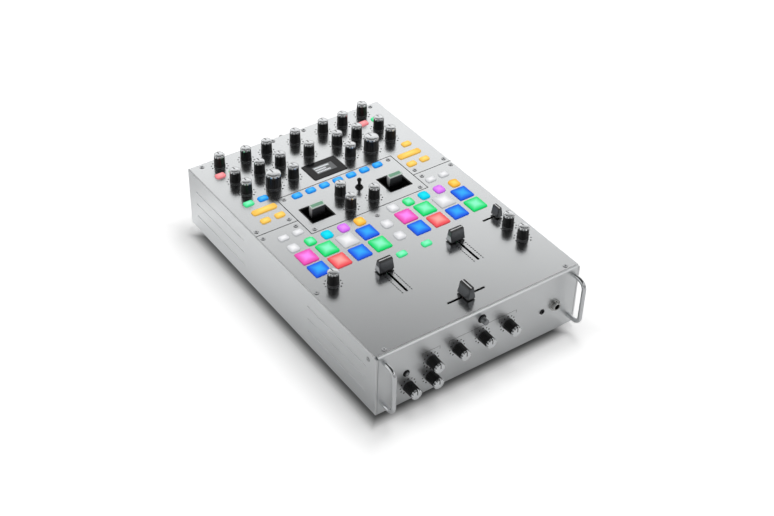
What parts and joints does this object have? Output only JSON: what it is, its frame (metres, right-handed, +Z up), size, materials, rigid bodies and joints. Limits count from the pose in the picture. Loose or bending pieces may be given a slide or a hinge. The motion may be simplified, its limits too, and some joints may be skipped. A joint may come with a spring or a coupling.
{
  "type": "dj mixer",
  "caption": "Low silver table-top mixer with rows of ribbed knobs, lit pads and keys, sliding faders, two spring paddles and front handles.",
  "frame": {"origin": "on the floor under the middle of the whole object", "axes": "+X to the right as the user faces the front panel, +Y towards the rear sockets, +Z up"},
  "size_m": [0.2616, 0.4054, 0.1],
  "materials": {
    "knob_black": "satin black with a bright metal cap",
    "gloss_black": "gloss black",
    "lit_pad": "translucent, lit from below",
    "lit_key": "translucent, lit from below",
    "button_grey": "satin",
    "silver_sheet": "satin silver",
    "silver_plate": "fine satin silver",
    "polished_steel": "polished",
    "foot_rubber": "matt",
    "screw_steel": "bright zinc",
    "board": "solder mask",
    "control_metal": "satin",
    "well_black": "matt black",
    "screen_black": "gloss",
    "socket_metal": "nickel"
  },
  "bodies": {
    "housing": {"chassis_tray": "silver_sheet", "rear_top_plate": "silver_plate", "performance_plate": "silver_plate", "effects_plate": "silver_plate", "front_panel": "silver_plate", "front_handles": "polished_steel", "rubber_feet": "foot_rubber", "panel_screws": "screw_steel", "circuit_boards": "board", "control_bodies": "control_metal", "paddle_wells": "well_black", "display_screen": "screen_black", "sockets": "socket_metal"},
    "left_input_knob": {"left_input_knob": "knob_black"},
    "left_trim_knob": {"left_trim_knob": "knob_black"},
    "left_high_knob": {"left_high_knob": "knob_black"},
    "left_aux_knob": {"left_aux_knob": "knob_black"},
    "left_echo_knob": {"left_echo_knob": "knob_black"},
    "left_mid_knob": {"left_mid_knob": "knob_black"},
    "left_tone_knob": {"left_tone_knob": "knob_black"},
    "left_filter_knob": {"left_filter_knob": "knob_black"},
    "left_low_knob": {"left_low_knob": "knob_black"},
    "right_input_knob": {"right_input_knob": "knob_black"},
    "right_trim_knob": {"right_trim_knob": "knob_black"},
    "right_high_knob": {"right_high_knob": "knob_black"},
    "right_aux_knob": {"right_aux_knob": "knob_black"},
    "right_echo_knob": {"right_echo_knob": "knob_black"},
    "right_mid_knob": {"right_mid_knob": "knob_black"},
    "right_tone_knob": {"right_tone_knob": "knob_black"},
    "right_filter_knob": {"right_filter_knob": "knob_black"},
    "right_low_knob": {"right_low_knob": "knob_black"},
    "master_level_knob": {"master_level_knob": "knob_black"},
    "booth_level_knob": {"booth_level_knob": "knob_black"},
    "beat_knob": {"beat_knob": "knob_black"},
    "left_depth_knob": {"left_depth_knob": "knob_black"},
    "right_depth_knob": {"right_depth_knob": "knob_black"},
    "mic_level_knob": {"mic_level_knob": "knob_black"},
    "cue_mix_knob": {"cue_mix_knob": "knob_black"},
    "phones_level_knob": {"phones_level_knob": "knob_black"},
    "session_level_knob": {"session_level_knob": "knob_black"},
    "mic_high_knob": {"mic_high_knob": "knob_black"},
    "mic_low_knob": {"mic_low_knob": "knob_black"},
    "left_contour_knob": {"left_contour_knob": "knob_black"},
    "cross_contour_knob": {"cross_contour_knob": "knob_black"},
    "right_contour_knob": {"right_contour_knob": "knob_black"},
    "left_fader": {"left_fader": "gloss_black"},
    "right_fader": {"right_fader": "gloss_black"},
    "crossfader": {"crossfader": "gloss_black"},
    "cue_fader": {"cue_fader": "gloss_black"},
    "left_paddle": {"left_paddle": "gloss_black"},
    "right_paddle": {"right_paddle": "gloss_black"},
    "browse_lever": {"browse_lever": "gloss_black"},
    "left_pads": {"left_pads": "lit_pad"},
    "right_pads": {"right_pads": "lit_pad"},
    "mode_keys": {"mode_keys": "lit_key"},
    "effect_keys": {"effect_keys": "lit_key"},
    "loop_keys": {"loop_keys": "lit_key"},
    "channel_keys": {"channel_keys": "lit_key"},
    "front_buttons": {"front_buttons": "button_grey"},
    "power_rocker": {"power_rocker": "gloss_black"}
  },
  "joints": [
    {"name": "left_input_turn", "type": "hinge", "parent": "housing", "child": "left_input_knob", "pos_m": [-0.0974, 0.17825, 0.082], "axis": [0, 0, 1], "range_deg": [-150, 150]},
    {"name": "left_trim_turn", "type": "hinge", "parent": "housing", "child": "left_trim_knob", "pos_m": [-0.066, 0.17305, 0.082], "axis": [0, 0, 1], "range_deg": [-150, 150]},
    {"name": "left_high_turn", "type": "hinge", "parent": "housing", "child": "left_high_knob", "pos_m": [-0.0385, 0.17305, 0.082], "axis": [0, 0, 1], "range_deg": [-150, 150]},
    {"name": "left_aux_turn", "type": "hinge", "parent": "housing", "child": "left_aux_knob", "pos_m": [-0.0974, 0.14285, 0.082], "axis": [0, 0, 1], "range_deg": [-150, 150]},
    {"name": "left_echo_turn", "type": "hinge", "parent": "housing", "child": "left_echo_knob", "pos_m": [-0.066, 0.14285, 0.082], "axis": [0, 0, 1], "range_deg": [-150, 150]},
    {"name": "left_mid_turn", "type": "hinge", "parent": "housing", "child": "left_mid_knob", "pos_m": [-0.0385, 0.14285, 0.082], "axis": [0, 0, 1], "range_deg": [-150, 150]},
    {"name": "left_tone_turn", "type": "hinge", "parent": "housing", "child": "left_tone_knob", "pos_m": [-0.0974, 0.11825, 0.082], "axis": [0, 0, 1], "range_deg": [-150, 150]},
    {"name": "left_filter_turn", "type": "hinge", "parent": "housing", "child": "left_filter_knob", "pos_m": [-0.066, 0.11255, 0.082], "axis": [0, 0, 1], "range_deg": [-150, 150]},
    {"name": "left_low_turn", "type": "hinge", "parent": "housing", "child": "left_low_knob", "pos_m": [-0.0385, 0.11475, 0.082], "axis": [0, 0, 1], "range_deg": [-150, 150]},
    {"name": "right_input_turn", "type": "hinge", "parent": "housing", "child": "right_input_knob", "pos_m": [0.0974, 0.17825, 0.082], "axis": [0, 0, 1], "range_deg": [-150, 150]},
    {"name": "right_trim_turn", "type": "hinge", "parent": "housing", "child": "right_trim_knob", "pos_m": [0.066, 0.17305, 0.082], "axis": [0, 0, 1], "range_deg": [-150, 150]},
    {"name": "right_high_turn", "type": "hinge", "parent": "housing", "child": "right_high_knob", "pos_m": [0.0385, 0.17305, 0.082], "axis": [0, 0, 1], "range_deg": [-150, 150]},
    {"name": "right_aux_turn", "type": "hinge", "parent": "housing", "child": "right_aux_knob", "pos_m": [0.0974, 0.14285, 0.082], "axis": [0, 0, 1], "range_deg": [-150, 150]},
    {"name": "right_echo_turn", "type": "hinge", "parent": "housing", "child": "right_echo_knob", "pos_m": [0.066, 0.14285, 0.082], "axis": [0, 0, 1], "range_deg": [-150, 150]},
    {"name": "right_mid_turn", "type": "hinge", "parent": "housing", "child": "right_mid_knob", "pos_m": [0.0385, 0.14285, 0.082], "axis": [0, 0, 1], "range_deg": [-150, 150]},
    {"name": "right_tone_turn", "type": "hinge", "parent": "housing", "child": "right_tone_knob", "pos_m": [0.0974, 0.11825, 0.082], "axis": [0, 0, 1], "range_deg": [-150, 150]},
    {"name": "right_filter_turn", "type": "hinge", "parent": "housing", "child": "right_filter_knob", "pos_m": [0.066, 0.11255, 0.082], "axis": [0, 0, 1], "range_deg": [-150, 150]},
    {"name": "right_low_turn", "type": "hinge", "parent": "housing", "child": "right_low_knob", "pos_m": [0.0385, 0.11475, 0.082], "axis": [0, 0, 1], "range_deg": [-150, 150]},
    {"name": "master_level_turn", "type": "hinge", "parent": "housing", "child": "master_level_knob", "pos_m": [0, 0.17305, 0.082], "axis": [0, 0, 1], "range_deg": [-150, 150]},
    {"name": "booth_level_turn", "type": "hinge", "parent": "housing", "child": "booth_level_knob", "pos_m": [0, 0.14285, 0.082], "axis": [0, 0, 1], "range_deg": [-150, 150]},
    {"name": "beat_turn", "type": "hinge", "parent": "housing", "child": "beat_knob", "pos_m": [-0.0127, 0.05845, 0.082], "axis": [0, 0, 1], "continuous": true},
    {"name": "left_depth_turn", "type": "hinge", "parent": "housing", "child": "left_depth_knob", "pos_m": [-0.0155, 0.03335, 0.082], "axis": [0, 0, 1], "range_deg": [-150, 150]},
    {"name": "right_depth_turn", "type": "hinge", "parent": "housing", "child": "right_depth_knob", "pos_m": [0.0155, 0.03335, 0.082], "axis": [0, 0, 1], "range_deg": [-150, 150]},
    {"name": "mic_level_turn", "type": "hinge", "parent": "housing", "child": "mic_level_knob", "pos_m": [-0.1028, -0.06475, 0.082], "axis": [0, 0, 1], "range_deg": [-150, 150]},
    {"name": "cue_mix_turn", "type": "hinge", "parent": "housing", "child": "cue_mix_knob", "pos_m": [0.1083, -0.08735, 0.082], "axis": [0, 0, 1], "range_deg": [-150, 150]},
    {"name": "phones_level_turn", "type": "hinge", "parent": "housing", "child": "phones_level_knob", "pos_m": [0.1083, -0.11255, 0.082], "axis": [0, 0, 1], "range_deg": [-150, 150]},
    {"name": "session_level_turn", "type": "hinge", "parent": "housing", "child": "session_level_knob", "pos_m": [-0.0904, -0.18175, 0.0255], "axis": [0, -1, 0], "range_deg": [-150, 150]},
    {"name": "mic_high_turn", "type": "hinge", "parent": "housing", "child": "mic_high_knob", "pos_m": [-0.0629, -0.18175, 0.0469], "axis": [0, -1, 0], "range_deg": [-150, 150]},
    {"name": "mic_low_turn", "type": "hinge", "parent": "housing", "child": "mic_low_knob", "pos_m": [-0.0629, -0.18175, 0.0255], "axis": [0, -1, 0], "range_deg": [-150, 150]},
    {"name": "left_contour_turn", "type": "hinge", "parent": "housing", "child": "left_contour_knob", "pos_m": [-0.0302, -0.18175, 0.0469], "axis": [0, -1, 0], "range_deg": [-150, 150]},
    {"name": "cross_contour_turn", "type": "hinge", "parent": "housing", "child": "cross_contour_knob", "pos_m": [0.0025, -0.18175, 0.0469], "axis": [0, -1, 0], "range_deg": [-150, 150]},
    {"name": "right_contour_turn", "type": "hinge", "parent": "housing", "child": "right_contour_knob", "pos_m": [0.0352, -0.18175, 0.0469], "axis": [0, -1, 0], "range_deg": [-150, 150]},
    {"name": "left_fader_slide", "type": "slide", "parent": "housing", "child": "left_fader", "axis": [0, 1, 0], "range_m": [-0.0393, 0.0053]},
    {"name": "right_fader_slide", "type": "slide", "parent": "housing", "child": "right_fader", "axis": [0, 1, 0], "range_m": [-0.0393, 0.0053]},
    {"name": "crossfader_slide", "type": "slide", "parent": "housing", "child": "crossfader", "axis": [1, 0, 0], "range_m": [-0.0223, 0.0223]},
    {"name": "cue_fader_slide", "type": "slide", "parent": "housing", "child": "cue_fader", "axis": [1, 0, 0], "range_m": [-0.0174, 0.0022]},
    {"name": "left_paddle_tilt", "type": "hinge", "parent": "housing", "child": "left_paddle", "pos_m": [-0.0516, 0.04545, 0.0735], "axis": [1, 0, 0], "range_deg": [-16, 16], "stiffness_Nm_per_rad": 0.12},
    {"name": "right_paddle_tilt", "type": "hinge", "parent": "housing", "child": "right_paddle", "pos_m": [0.0516, 0.04545, 0.0735], "axis": [1, 0, 0], "range_deg": [-16, 16], "stiffness_Nm_per_rad": 0.12},
    {"name": "browse_lever_tilt", "type": "hinge", "parent": "housing", "child": "browse_lever", "pos_m": [0.0127, 0.05845, 0.082], "axis": [1, 0, 0], "range_deg": [-12, 12], "stiffness_Nm_per_rad": 0.03},
    {"name": "left_pads_press", "type": "slide", "parent": "housing", "child": "left_pads", "axis": [0, 0, -1], "range_m": [0, 0.0014], "stiffness_N_per_m": 900},
    {"name": "right_pads_press", "type": "slide", "parent": "housing", "child": "right_pads", "axis": [0, 0, -1], "range_m": [0, 0.0014], "stiffness_N_per_m": 900},
    {"name": "mode_keys_press", "type": "slide", "parent": "housing", "child": "mode_keys", "axis": [0, 0, -1], "range_m": [0, 0.0014], "stiffness_N_per_m": 900},
    {"name": "effect_keys_press", "type": "slide", "parent": "housing", "child": "effect_keys", "axis": [0, 0, -1], "range_m": [0, 0.0014], "stiffness_N_per_m": 500},
    {"name": "loop_keys_press", "type": "slide", "parent": "housing", "child": "loop_keys", "axis": [0, 0, -1], "range_m": [0, 0.0014], "stiffness_N_per_m": 500},
    {"name": "channel_keys_press", "type": "slide", "parent": "housing", "child": "channel_keys", "axis": [0, 0, -1], "range_m": [0, 0.0014], "stiffness_N_per_m": 500},
    {"name": "front_buttons_press", "type": "slide", "parent": "housing", "child": "front_buttons", "axis": [0, 1, 0], "range_m": [0, 0.0015], "stiffness_N_per_m": 300},
    {"name": "power_rocker_tilt", "type": "hinge", "parent": "housing", "child": "power_rocker", "pos_m": [0.073, 0.18925, 0.046], "axis": [1, 0, 0], "range_deg": [-20, 0]}
  ]
}
